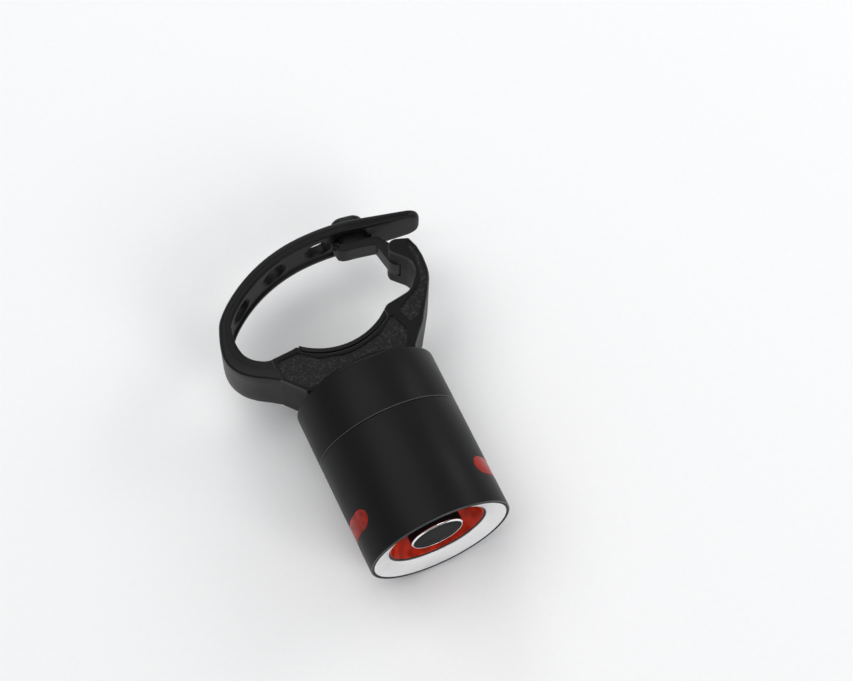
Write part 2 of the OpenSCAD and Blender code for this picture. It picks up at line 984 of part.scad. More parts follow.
bracket();
saddle_pad();
rear_cap();
cap_screws();
strap_anchor();
strap_pin();
strap();
catch_pin();
catch_plate();
catch_stud();
neck_seal();
barrel();
bezel_ring();
lens_gasket();
front_lens();
side_lens_right();
side_lens_left();
reflector();
button_cap();
button_trim();
switch_plunger();
button_seal();
tact_switch();
led_board();
leds();
cell_cradle();
battery();
flex_cable();
main_board();
board_chips();
board_screws();
charge_socket();
tail_plug();
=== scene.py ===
"""Looks of a bicycle rear light with a strap mount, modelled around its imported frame."""
import math

import bmesh
import bpy
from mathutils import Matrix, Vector


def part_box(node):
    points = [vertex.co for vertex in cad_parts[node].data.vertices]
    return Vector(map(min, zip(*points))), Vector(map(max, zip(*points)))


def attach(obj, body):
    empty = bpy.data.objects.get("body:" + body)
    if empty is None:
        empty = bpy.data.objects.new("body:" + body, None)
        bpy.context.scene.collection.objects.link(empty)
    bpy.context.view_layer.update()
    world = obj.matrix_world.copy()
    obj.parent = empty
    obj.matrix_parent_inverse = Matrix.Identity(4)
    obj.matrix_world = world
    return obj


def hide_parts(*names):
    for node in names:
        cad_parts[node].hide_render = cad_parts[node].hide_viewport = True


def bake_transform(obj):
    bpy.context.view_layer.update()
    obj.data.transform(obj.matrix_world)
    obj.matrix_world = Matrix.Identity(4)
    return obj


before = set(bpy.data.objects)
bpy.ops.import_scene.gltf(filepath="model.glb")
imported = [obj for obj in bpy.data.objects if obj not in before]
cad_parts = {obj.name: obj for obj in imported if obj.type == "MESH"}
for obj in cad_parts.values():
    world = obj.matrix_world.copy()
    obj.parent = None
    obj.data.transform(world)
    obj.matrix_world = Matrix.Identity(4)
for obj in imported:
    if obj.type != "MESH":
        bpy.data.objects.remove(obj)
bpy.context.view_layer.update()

bl_info = {
    "name": "Bicycle Rear Light",
    "version": (1, 0, 0),
    "blender": (4, 5, 0),
    "location": "View3D > Sidebar > Rear Light",
    "description": "Models the rear light's finished pieces, materials and stage around its frame",
    "category": "Object",
}

# Places that the frame gives, in metres

MM = 0.001
FRONT_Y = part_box("barrel")[0][1]
CAP_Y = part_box("rear_cap")[1][1]
BODY_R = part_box("rear_cap")[1][0]
HALF_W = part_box("saddle_pad")[1][2]
STRAP_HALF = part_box("strap")[1][2]
SPLIT_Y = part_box("barrel")[1][1]

# Sizes of the mount in millimetres, across the post (x) and away from the rear cap (y)

POST_R = 13.6
POST_H = 20.8
SADDLE_X = 9.0
SHOULDER_H = 10.6
PAD_T = 1.0
LEDGE_H = 10.1
BASE_X = 15.0
FLARE_H = 5.4
FOOT_R = 11.0
FOOT_H = 1.2
ARM_REACH = 3.8
PIN_SET = 7.9
PIN_DROP = 8.6
PASS_GAP = 0.3
CHEEK_R = 1.8
CATCH_HALF = 2.4
KNUCKLE_R = 2.0
CATCH_T = 2.6
PLATE_DROP = 0.9
TIP_EASE = 0.65
TIP_ROUND = 1.9
PIN_BORE = 0.83
FORK_HALF = 2.6

# The strap's outer face: a start, a heading and arcs of [radius, angle turned]

STRAP_START = (-20.6, 11.2)
STRAP_HEADING = 102.0
STRAP_ARCS = ((38.5, 12.0), (5.0, 39.0), (19.5, 11.0), (31.5, 36.0), (46.0, 16.0))
STRAP_T = 2.4
TAB_T = 1.5
TAB_LEN = 12.0
TAB_CORNER = 3.0
TAB_HALF = 4.2
TAPER_SET = 3.1
ARC_LENGTHS = [r * math.radians(a) for r, a in STRAP_ARCS]
BEND_LEN = sum(ARC_LENGTHS)
STRAP_LEN = BEND_LEN + TAB_LEN
SIDE_HINGE = ARC_LENGTHS[0] + ARC_LENGTHS[1] + 0.8
ROOT_END = SIDE_HINGE - 2.4
FIRST_SLOT = SIDE_HINGE + 4.6
SLOT_PITCH = 10.8
SLOT_LEN = 5.0
SLOT_W = 4.2
STUD_AT = BEND_LEN - 2.15
STUD_LEN = 6.8
STUD_W = 4.4
STUD_RISE = 2.6

# The side windows: outline in millimetres, turn about the light's axis and gap round each insert

WINDOW_LEN = 18.38
WINDOW_W = 3.9
WINDOW_CLOCK = math.radians(3.7)
WINDOW_GAP = 0.06

# The neck in millimetres: radius under its thread, height of the thread and steps in a turn of it

NECK_R = 11.55
THREAD_RISE = 0.33
THREAD_STEPS = 60

# The lamps as name, place, size and power, and the point that they face

LAMPS = (
    ("key", (-0.2, 0.12, 0.6), 0.6, 2.4),
    ("front", (0.2, -0.55, 0.35), 0.3, 1.3),
    ("rim", (0.1, 0.5, 0.3), 0.25, 0.6),
    ("side", (0.42, 0.05, 0.25), 0.2, 0.5),
)
LIT_POINT = (0.0, -0.02, 0.0)

# The view: direction back from the object, distance, focal length in sensor widths and shift

VIEW_BACK = (-0.15789, -0.34327, 0.92587)
VIEW_TARGET = (0.0, CAP_Y - 6.4 * MM, 3.0 * MM)
VIEW_DISTANCE = 0.4
VIEW_FOCAL = 2108.0 / 853.0
VIEW_SHIFT = (0.0565, 0.0799)


class RearLightSizes(bpy.types.PropertyGroup):
    """Sizes of the finish that the frame leaves open"""

    edge_round: bpy.props.FloatProperty(
        name="Edge Round", description="Radius on the edges of the bracket", default=0.4 * MM, unit="LENGTH")
    strap_rim: bpy.props.FloatProperty(
        name="Strap Rim", description="Width of the raised rims along the strap", default=1.3 * MM,
        unit="LENGTH")
    strap_recess: bpy.props.FloatProperty(
        name="Strap Recess", description="Depth between the strap's rims", default=0.4 * MM, unit="LENGTH")
    panel_depth: bpy.props.FloatProperty(
        name="Panel Depth", description="Depth of the grained panels", default=0.3 * MM, unit="LENGTH")
    lens_facets: bpy.props.IntProperty(
        name="Lens Facets", description="Facets round the front lens", default=18, min=6, max=48)
    facet_depth: bpy.props.FloatProperty(
        name="Facet Depth", description="Depth of the lens facets", default=0.26 * MM, unit="LENGTH")
    thread_pitch: bpy.props.FloatProperty(
        name="Thread Pitch", description="Pitch of the neck's thread", default=1.25 * MM, unit="LENGTH")


class RearLightColours(bpy.types.PropertyGroup):
    """Colours of the finishes and the stage"""

    body: bpy.props.FloatVectorProperty(
        name="Body", description="Anodised barrel and cap", subtype="COLOR", default=(0.009, 0.009, 0.0093))
    bracket: bpy.props.FloatVectorProperty(
        name="Bracket", description="Moulded bracket", subtype="COLOR", default=(0.0065, 0.0065, 0.0068))
    panel: bpy.props.FloatVectorProperty(
        name="Panel", description="Grained panels of the bracket", subtype="COLOR",
        default=(0.004, 0.004, 0.0042))
    rubber: bpy.props.FloatVectorProperty(
        name="Rubber", description="Strap and pad", subtype="COLOR", default=(0.0065, 0.0065, 0.0067))
    lens: bpy.props.FloatVectorProperty(
        name="Lens", description="Red front lens", subtype="COLOR", default=(0.36, 0.018, 0.005))
    window: bpy.props.FloatVectorProperty(
        name="Window", description="Red side windows", subtype="COLOR", default=(0.22, 0.013, 0.008))
    bezel: bpy.props.FloatVectorProperty(
        name="Bezel", description="Silver ring in the rim", subtype="COLOR", default=(0.94, 0.945, 0.95))
    floor: bpy.props.FloatVectorProperty(
        name="Floor", description="Floor and background", subtype="COLOR", default=(0.93, 0.93, 0.93))


# Geometry in the mount plane


def on_mount(x, y, z=0.0):
    """A point of the mount in the part's frame, from millimetres."""
    return Vector((x * MM, CAP_Y + y * MM, z * MM))


def depth_and_radius(point):
    """Depth behind the front rim and distance from the light's axis, in millimetres."""
    return (point.y - FRONT_Y) / MM, math.hypot(point.x, point.z) / MM


def strap_at(s):
    """Place and heading on the strap's outer face at a length from its root."""
    (x, y), heading = STRAP_START, STRAP_HEADING
    for (r, _), length in zip(STRAP_ARCS, ARC_LENGTHS):
        end = heading - math.degrees(min(s, length) / r)
        a, b = math.radians(heading), math.radians(end)
        x += r * (math.sin(a) - math.sin(b))
        y -= r * (math.cos(a) - math.cos(b))
        if s <= length:
            return x, y, end
        s -= length
        heading = end
    a = math.radians(heading)
    return x + s * math.cos(a), y + s * math.sin(a), heading


def strap_depth(s):
    """Thickness of the strap at a length from its root."""
    share = (s - BEND_LEN) / TAB_LEN
    return STRAP_T + (TAB_T - STRAP_T) * max(0.0, min(1.0, share))


def strap_half(s):
    """Half of the strap's width at a length from its root."""
    start, end = BEND_LEN - TAPER_SET, STRAP_LEN - TAB_CORNER
    share = max(0.0, min(1.0, (s - start) / (end - start)))
    past = max(0.0, min(TAB_CORNER, s - end))
    half = STRAP_HALF / MM + (TAB_HALF - STRAP_HALF / MM) * share
    return half - TAB_CORNER + math.sqrt(TAB_CORNER ** 2 - past ** 2)


def strap_point(s, depth):
    """A point of the strap at a depth under its outer face."""
    x, y, heading = strap_at(s)
    a = math.radians(heading)
    return x + depth * math.sin(a), y - depth * math.cos(a)


def catch_pin():
    """The middle of the catch pin, under the strap's tab."""
    return strap_point(STUD_AT + PIN_SET, PIN_DROP)


def arc(centre, r, start, end, steps):
    """Points on an arc, angles in degrees."""
    angles = [math.radians(start + (end - start) * i / steps) for i in range(steps + 1)]
    return [(centre[0] + r * math.cos(a), centre[1] + r * math.sin(a)) for a in angles]


def rounded(corners, steps=6):
    """A closed outline of (x, y, radius) corners with each corner rounded by its radius."""
    outline = []
    for i, (x, y, r) in enumerate(corners):
        here = Vector((x, y))
        before = Vector(corners[i - 1][:2]) - here
        after = Vector(corners[(i + 1) % len(corners)][:2]) - here
        if r <= 0:
            outline.append((x, y))
            continue
        half = before.angle(after) / 2
        reach = min(r / math.tan(half), 0.49 * before.length, 0.49 * after.length)
        r = reach * math.tan(half)
        centre = here + (before.normalized() + after.normalized()).normalized() * (r / math.sin(half))
        first = here + before.normalized() * reach - centre
        turn = first.angle_signed(here + after.normalized() * reach - centre)
        for k in range(steps + 1):
            a = -turn * k / steps
            c, s = math.cos(a), math.sin(a)
            p = centre + Vector((first.x * c - first.y * s, first.x * s + first.y * c))
            outline.append((p.x, p.y))
    return outline


# Modelling steps


def deselect_all():
    """Leaves edit mode with nothing selected."""
    if bpy.context.mode != "OBJECT":
        bpy.ops.object.mode_set(mode="OBJECT")
    bpy.ops.object.select_all(action="DESELECT")


def pick(piece):
    """Makes one piece the selected and active one."""
    deselect_all()
    piece.select_set(True)
    bpy.context.view_layer.objects.active = piece


def start_ring(name, points):
    """A new piece that is one closed ring of edges through the points."""
    deselect_all()
    bpy.ops.mesh.primitive_circle_add(vertices=len(points), radius=MM)
    piece = bpy.context.object
    piece.name = piece.data.name = name
    for vertex, point in zip(piece.data.vertices, points):
        vertex.co = point
    bpy.ops.object.mode_set(mode="EDIT")
    bpy.ops.mesh.select_all(action="SELECT")
    return piece


def close_mesh(piece):
    """Merges doubles, points the faces outwards and leaves edit mode."""
    bpy.ops.mesh.select_all(action="SELECT")
    bpy.ops.mesh.remove_doubles(threshold=0.002 * MM)
    bpy.ops.mesh.dissolve_degenerate(threshold=0.001 * MM)
    bpy.ops.mesh.select_all(action="SELECT")
    bpy.ops.mesh.normals_make_consistent(inside=False)
    bpy.ops.object.mode_set(mode="OBJECT")
    return piece


def spun(name, corners, steps=160):
    """A turned piece from (radius, depth, edge radius) corners, depths in mm behind the front rim."""
    profile = rounded(corners, steps=4)
    start_ring(name, [(r * MM, FRONT_Y + d * MM, 0.0) for r, d in profile])
    bpy.ops.mesh.spin(steps=steps, angle=math.tau, center=(0, 0, 0), axis=(0, 1, 0), use_auto_merge=True)
    return close_mesh(bpy.context.object)


def lofted(name, rings):
    """A closed piece whose first ring is capped and pulled through the others, one extrusion each."""
    piece = start_ring(name, rings[0])
    bpy.ops.mesh.edge_face_add()
    for last, ring in zip(rings, rings[1:]):
        bpy.ops.mesh.extrude_region()
        mesh = bmesh.from_edit_mesh(piece.data)
        places = {tuple(round(c, 8) for c in Vector(p)): q for p, q in zip(last, ring)}
        for vertex in mesh.verts:
            if vertex.select:
                vertex.co = places[tuple(round(c, 8) for c in vertex.co)]
        bmesh.update_edit_mesh(piece.data)
    return close_mesh(piece)


def slab(name, outline, low, high):
    """A block from an outline in the mount plane, between two heights along the post."""
    rings = [[on_mount(x, y, z) for x, y in outline] for z in (low, high)]
    return lofted(name, rings)


def add_modifier(piece, kind, **values):
    """Adds a modifier with its values and applies it."""
    pick(piece)
    modifier = piece.modifiers.new(kind.title(), kind)
    for key, value in values.items():
        setattr(modifier, key, value)
    bpy.ops.object.modifier_apply(modifier=modifier.name)


def combine(piece, tool, operation="DIFFERENCE"):
    """Cuts a tool out of a piece, or joins it on, and removes the tool."""
    add_modifier(piece, "BOOLEAN", operation=operation, object=tool, solver="EXACT")
    bpy.data.objects.remove(tool, do_unlink=True)


def round_edges(piece, width, segments=3, angle=35, clamp=True):
    """Rounds the piece's sharp edges."""
    add_modifier(piece, "BEVEL", width=width, segments=segments, limit_method="ANGLE",
                 angle_limit=math.radians(angle), use_clamp_overlap=clamp)


def merge_close(piece, distance):
    """Joins the piece's points that lie closer than a distance."""
    pick(piece)
    bpy.ops.object.mode_set(mode="EDIT")
    bpy.ops.mesh.select_all(action="SELECT")
    bpy.ops.mesh.remove_doubles(threshold=distance)
    bpy.ops.object.mode_set(mode="OBJECT")


def finish_piece(piece, material, body, slot, *nodes, flat=False):
    """Shades a piece, gives it its material and sets it on its body in place of CAD nodes."""
    pick(piece)
    bpy.ops.object.transform_apply(location=True, rotation=True, scale=True)
    bpy.ops.object.shade_smooth_by_angle(angle=math.radians(32))
    if flat:
        add_modifier(piece, "WEIGHTED_NORMAL", keep_sharp=True)
    if not piece.data.materials:
        piece.data.materials.append(material)
    if nodes:
        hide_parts(*nodes)
    if body:
        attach(piece, body)
    return piece


def oblong(length, width, steps=12):
    """An outline with round ends, along its first axis."""
    reach, r = (length - width) / 2, width / 2
    return arc((reach, 0), r, -90, 90, steps) + arc((-reach, 0), r, 90, 270, steps)


def strap_oblong(name, s, sizes, heights):
    """A bar through the strap, as (length, width) pairs at heights off its outer face."""
    x, y, heading = strap_at(s)
    a = math.radians(heading)
    rings = []
    for (length, width), h in zip(sizes, heights):
        rings.append([
            on_mount(x + u * math.cos(a) - h * math.sin(a), y + u * math.sin(a) + h * math.cos(a), z)
            for u, z in oblong(length, width)])
    return lofted(name, rings)


# Materials


def effect_group(name, inputs, outputs):
    """An empty node group with named float inputs and outputs."""
    group = bpy.data.node_groups.new(name, "ShaderNodeTree")
    for label, value in inputs:
        socket = group.interface.new_socket(label, in_out="INPUT", socket_type="NodeSocketFloat")
        socket.default_value = value
    for label in outputs:
        group.interface.new_socket(label, in_out="OUTPUT", socket_type="NodeSocketFloat")
    return group


def grain_group():
    """Moulded grain: pebbled height and a tone that follows it."""
    group = bpy.data.node_groups.get("Moulded Grain")
    if group:
        return group
    group = effect_group("Moulded Grain", [("Scale", 3000.0), ("Mix", 0.5)], ["Height", "Tone"])
    nodes, link = group.nodes, group.links.new
    start, end = nodes.new("NodeGroupInput"), nodes.new("NodeGroupOutput")
    place = nodes.new("ShaderNodeTexCoord")
    pebbles = nodes.new("ShaderNodeTexVoronoi")
    pebbles.feature = "SMOOTH_F1"
    dust = nodes.new("ShaderNodeTexNoise")
    dust.inputs["Detail"].default_value = 6.0
    mix = nodes.new("ShaderNodeMix")
    link(place.outputs["Object"], pebbles.inputs["Vector"])
    link(place.outputs["Object"], dust.inputs["Vector"])
    link(start.outputs["Scale"], pebbles.inputs["Scale"])
    link(start.outputs["Scale"], dust.inputs["Scale"])
    link(start.outputs["Mix"], mix.inputs["Factor"])
    link(pebbles.outputs["Distance"], mix.inputs["A"])
    link(dust.outputs["Fac"], mix.inputs["B"])
    link(mix.outputs["Result"], end.inputs["Height"])
    link(dust.outputs["Fac"], end.inputs["Tone"])
    return group


def handling_group():
    """Broad soft patches that vary a finish, as handling and moulding leave them."""
    group = bpy.data.node_groups.get("Handling Patches")
    if group:
        return group
    group = effect_group("Handling Patches", [("Scale", 120.0), ("Low", 0.3), ("High", 0.5)], ["Value"])
    nodes, link = group.nodes, group.links.new
    start, end = nodes.new("NodeGroupInput"), nodes.new("NodeGroupOutput")
    place = nodes.new("ShaderNodeTexCoord")
    patches = nodes.new("ShaderNodeTexNoise")
    patches.inputs["Detail"].default_value = 4.0
    spread = nodes.new("ShaderNodeMapRange")
    spread.inputs["From Min"].default_value = 0.3
    spread.inputs["From Max"].default_value = 0.7
    link(place.outputs["Object"], patches.inputs["Vector"])
    link(start.outputs["Scale"], patches.inputs["Scale"])
    link(patches.outputs["Fac"], spread.inputs["Value"])
    link(start.outputs["Low"], spread.inputs["To Min"])
    link(start.outputs["High"], spread.inputs["To Max"])
    link(spread.outputs["Result"], end.inputs["Value"])
    return group


def turned_group():
    """Fine rings round the light's axis, as a lathe leaves them."""
    group = bpy.data.node_groups.get("Turned Rings")
    if group:
        return group
    group = effect_group("Turned Rings", [("Rings", 9000.0)], ["Height"])
    nodes, link = group.nodes, group.links.new
    start, end = nodes.new("NodeGroupInput"), nodes.new("NodeGroupOutput")
    place = nodes.new("ShaderNodeTexCoord")
    split = nodes.new("ShaderNodeSeparateXYZ")
    across = nodes.new("ShaderNodeCombineXYZ")
    radius = nodes.new("ShaderNodeVectorMath")
    radius.operation = "LENGTH"
    rings = nodes.new("ShaderNodeTexNoise")
    rings.noise_dimensions = "1D"
    rings.inputs["Detail"].default_value = 2.0
    link(place.outputs["Object"], split.inputs["Vector"])
    link(split.outputs["X"], across.inputs["X"])
    link(split.outputs["Z"], across.inputs["Z"])
    link(across.outputs["Vector"], radius.inputs[0])
    link(radius.outputs["Value"], rings.inputs["W"])
    link(start.outputs["Rings"], rings.inputs["Scale"])
    link(rings.outputs["Fac"], end.inputs["Height"])
    return group


def new_material(name):
    """A material with its shader, ready for the finish's nodes."""
    material = bpy.data.materials.new(name)
    material.use_nodes = True
    shader = material.node_tree.nodes["Principled BSDF"]
    return material, material.node_tree, shader


def place_group(tree, group, **values):
    """Places an effect in a material with its own values."""
    node = tree.nodes.new("ShaderNodeGroup")
    node.node_tree = group
    for label, value in values.items():
        node.inputs[label].default_value = value
    return node


def tint(tree, shader, colour, mask, light, low=0.4, high=0.6):
    """Varies the base colour between a colour and a lighter one by a mask."""
    ramp = tree.nodes.new("ShaderNodeValToRGB")
    ramp.color_ramp.elements[0].position = low
    ramp.color_ramp.elements[1].position = high
    ramp.color_ramp.elements[0].color = (*colour, 1.0)
    ramp.color_ramp.elements[1].color = (*[min(1.0, c * light) for c in colour], 1.0)
    tree.links.new(mask, ramp.inputs["Fac"])
    tree.links.new(ramp.outputs["Color"], shader.inputs["Base Color"])


def bump(tree, shader, height, distance, strength):
    """Leads a height into the shader's normal."""
    node = tree.nodes.new("ShaderNodeBump")
    node.inputs["Strength"].default_value = strength
    node.inputs["Distance"].default_value = distance
    tree.links.new(height, node.inputs["Height"])
    tree.links.new(node.outputs["Normal"], shader.inputs["Normal"])


def moulded(name, colour, grain, depth, strength, rough, light=1.5, spec=0.5, peaks=(0.4, 0.6)):
    """Black moulded plastic or rubber: grain, tone and broad patches."""
    material = bpy.data.materials.get(name)
    if material:
        return material
    material, tree, shader = new_material(name)
    texture = place_group(tree, grain_group(), Scale=grain, Mix=0.5)
    patches = place_group(tree, handling_group(), Scale=140.0, Low=rough[0], High=rough[1])
    tint(tree, shader, colour, texture.outputs["Tone"], light, *peaks)
    tree.links.new(patches.outputs["Value"], shader.inputs["Roughness"])
    bump(tree, shader, texture.outputs["Height"], depth * MM, strength)
    shader.inputs["Specular IOR Level"].default_value = spec
    return material


def metal(name, colour, rough, rings=0.0, strength=0.15):
    """Bare metal, plain or with turned rings."""
    material = bpy.data.materials.get(name)
    if material:
        return material
    material, tree, shader = new_material(name)
    patches = place_group(tree, handling_group(), Scale=260.0, Low=rough[0], High=rough[1])
    shader.inputs["Metallic"].default_value = 1.0
    tint(tree, shader, colour, patches.outputs["Value"], 1.06, rough[0], rough[1])
    tree.links.new(patches.outputs["Value"], shader.inputs["Roughness"])
    if rings:
        turned = place_group(tree, turned_group(), Rings=rings)
        bump(tree, shader, turned.outputs["Height"], 0.02 * MM, strength)
    else:
        grain = place_group(tree, grain_group(), Scale=2500.0, Mix=1.0)
        bump(tree, shader, grain.outputs["Height"], 0.01 * MM, strength)
    return material


def body_black():
    """Satin black anodised metal with a fine blasted grain."""
    colours = bpy.context.scene.rear_light_colours
    return moulded("Anodised Black", colours.body, 5200.0, 0.012, 0.35, (0.36, 0.44), light=1.25, spec=0.08)


def painted_edge_highlight():
    """Lighter grey on turned edges, a painted highlight along the split and the front rim."""
    return moulded("Painted Edge Highlight", (0.045, 0.045, 0.047), 5200.0, 0.01, 0.3, (0.34, 0.42), light=1.6, spec=0.3)


def bracket_black():
    """Smooth border of the moulded bracket."""
    colours = bpy.context.scene.rear_light_colours
    return moulded("Bracket Black", colours.bracket, 4200.0, 0.01, 0.3, (0.38, 0.48), light=1.35, spec=0.09)


def painted_bracket_edge_highlight():
    """Lighter, glossier bevels on the bracket's edges; the lighter colour is a painted highlight."""
    return moulded("Painted Bracket Edge Highlight", (0.026, 0.026, 0.027), 4200.0, 0.01, 0.3, (0.26, 0.36), light=1.6,
                   spec=0.4)


def panel_black():
    """Coarse grain of the bracket's panels."""
    colours = bpy.context.scene.rear_light_colours
    return moulded("Panel Grain", colours.panel, 2600.0, 0.08, 1.0, (0.4, 0.5), light=9.0, spec=0.2,
                   peaks=(0.5, 0.72))


def rubber_black():
    """Smooth rubber with faint mould marks."""
    colours = bpy.context.scene.rear_light_colours
    return moulded("Rubber Black", colours.rubber, 3600.0, 0.008, 0.35, (0.34, 0.44), light=1.4, spec=0.14)


def red_clear(name, colour):
    """Clear red plastic over a bright reflector."""
    material = bpy.data.materials.get(name)
    if material:
        return material
    material, tree, shader = new_material(name)
    cells = place_group(tree, grain_group(), Scale=620.0, Mix=0.3)
    tint(tree, shader, colour, cells.outputs["Height"], 2.4, 0.22, 0.62)
    bump(tree, shader, cells.outputs["Height"], 0.06 * MM, 0.5)
    shader.inputs["Roughness"].default_value = 0.22
    shader.inputs["Transmission Weight"].default_value = 0.25
    shader.inputs["IOR"].default_value = 1.49
    shader.inputs["Specular IOR Level"].default_value = 0.02
    return material


# Pieces


class REARLIGHT_OT_body(bpy.types.Operator):
    """Models the barrel, its windows and the rear cap"""

    bl_idname = "rear_light.body"
    bl_label = "Body"

    def window_bar(self, side, middle, gap):
        """A bar out through the barrel's side with a window's outline, less a gap all round."""
        c, s = math.cos(WINDOW_CLOCK), math.sin(WINDOW_CLOCK)
        rings = []
        for reach in (3.0, 16.0):
            x = side * reach
            rings.append([
                Vector(((x * c - z * s) * MM, middle + v * MM, (x * s + z * c) * MM))
                for z, v in oblong(WINDOW_LEN - 2 * gap, WINDOW_W - 2 * gap)])
        return lofted("window_bar", rings)

    def execute(self, context):
        split = (SPLIT_Y - FRONT_Y) / MM
        back = (CAP_Y - FRONT_Y) / MM
        r = BODY_R / MM
        barrel = spun("barrel_shell", [
            (r - 1.6, split, 0), (r, split, 0.2), (r, 0, 0.45), (r - 0.65, 0, 0.08), (r - 0.65, 1.8, 0),
            (r - 1.6, 1.8, 0)])
        red = red_clear("Window Red", context.scene.rear_light_colours.window)
        for side, name, node in (
                (1, "window_right", "side_lens_right"), (-1, "window_left", "side_lens_left")):
            lo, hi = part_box(node)
            middle = (lo[1] + hi[1]) / 2
            front = (middle - FRONT_Y) / MM
            combine(barrel, self.window_bar(side, middle, 0.0))
            shell = spun(name, [
                (r - 1.55, front + 3, 0), (r - 0.02, front + 3, 0), (r - 0.02, front - 3, 0),
                (r - 1.55, front - 3, 0)])
            combine(shell, self.window_bar(side, middle, WINDOW_GAP), "INTERSECT")
            round_edges(shell, 0.14 * MM, 2, 50)
            finish_piece(shell, red, "head", "red_lens", node)
        barrel.data.materials.append(body_black())
        barrel.data.materials.append(painted_edge_highlight())
        # The barrel's front fillet takes the lighter grey, a painted highlight along the rim.
        for face in barrel.data.polygons:
            depth, out = depth_and_radius(face.center)
            if 0.02 < depth < 0.2 and out > r - 0.4:
                face.material_index = 1
        finish_piece(barrel, body_black(), "head", "black_anodised", "barrel")
        cap = spun("cap_shell", [
            (0, back, 0), (r, back, 0.7), (r, split + 0.1, 0.15), (r - 2.3, split + 0.1, 0.1),
            (r - 2.3, back - 5.5, 0), (0, back - 5.5, 0)])
        cap.data.materials.append(body_black())
        cap.data.materials.append(painted_edge_highlight())
        # The cap's front chamfer at the split takes the lighter grey, a painted highlight along the split
        # line.
        for face in cap.data.polygons:
            depth, out = depth_and_radius(face.center)
            if depth < split + 0.24 and out > r - 0.2:
                face.material_index = 1
        finish_piece(cap, body_black(), "mount", "black_anodised", "rear_cap")
        return {"FINISHED"}


class REARLIGHT_OT_front(bpy.types.Operator):
    """Models the silver bezel, its gasket and the faceted red lens"""

    bl_idname = "rear_light.front"
    bl_label = "Front"

    def execute(self, context):
        sizes = context.scene.rear_light_sizes
        bezel = spun("bezel", [
            (13.6, 1.8, 0), (10.05, 1.8, 0), (10.05, 1.45, 0.06), (13.45, 0.1, 0.05), (13.6, 0.1, 0.04)], 192)
        silver = metal("Turned Silver", context.scene.rear_light_colours.bezel, (0.3, 0.38), 5200.0, 0.08)
        finish_piece(bezel, silver, "head", "silver", "bezel_ring")
        gasket = spun("gasket", [
            (9.72, 1.6, 0.08), (10.0, 1.6, 0.05), (10.0, 1.8, 0), (12.6, 1.8, 0), (12.6, 2.2, 0),
            (9.72, 2.2, 0)])
        black = moulded("Gasket Black", (0.006, 0.006, 0.006), 4000.0, 0.01, 0.3, (0.5, 0.62))
        finish_piece(gasket, black, "head", "gasket", "lens_gasket")
        lens = spun("lens", [
            (12.6, 2.22, 0), (9.7, 2.22, 0), (9.7, 1.72, 0.08), (9.45, 1.8, 0.15), (8.9, 3.3, 0.3),
            (7.9, 4.9, 0.3), (7.3, 5.7, 0.25), (6.4, 5.75, 0), (5.46, 5.7, 0), (5.46, 6.7, 0),
            (7.9, 6.7, 0), (10.15, 3.2, 0), (12.6, 3.2, 0)],
            16 * sizes.lens_facets)
        for vertex in lens.data.vertices:
            depth, r = depth_and_radius(vertex.co)
            if 5.6 < r < 9.5 and 2.4 < depth < 6.0:
                swell = min(1.0, (9.5 - r) / 0.6, (r - 5.6) / 0.6)
                wave = abs(math.sin(sizes.lens_facets / 2 * math.atan2(vertex.co.z, vertex.co.x)))
                vertex.co.y -= sizes.facet_depth * wave * swell
        red = red_clear("Lens Red", context.scene.rear_light_colours.lens)
        finish_piece(lens, red, "head", "red_lens", "front_lens")
        return {"FINISHED"}


class REARLIGHT_OT_button(bpy.types.Operator):
    """Models the push button and its bright ring"""

    bl_idname = "rear_light.button"
    bl_label = "Button"

    def execute(self, context):
        cap = spun("button", [
            (0, 1.45, 0), (3.4, 1.45, 0.5), (4.93, 1.5, 0.1), (4.93, 1.74, 0), (5.3, 1.74, 0.04),
            (5.3, 7.6, 0.2), (4.3, 7.6, 0.1), (4.3, 2.9, 0.3), (1.4, 2.9, 0.3), (1.4, 6.9, 0.1), (0, 6.9, 0)])
        satin = moulded("Button Black", (0.004, 0.004, 0.0042), 3800.0, 0.01, 0.4, (0.46, 0.56), spec=0.06)
        finish_piece(cap, satin, "button", "button_black", "button_cap")
        ring = spun("button_ring", [
            (4.97, 1.4, 0.02), (5.06, 1.38, 0.03), (5.3, 1.6, 0.06), (5.3, 1.72, 0.02), (4.97, 1.72, 0)], 192)
        bright = metal("Bright Ring", (0.9, 0.91, 0.92), (0.06, 0.12), 7000.0, 0.06)
        finish_piece(ring, bright, "button", "bright_ring", "button_trim")
        return {"FINISHED"}


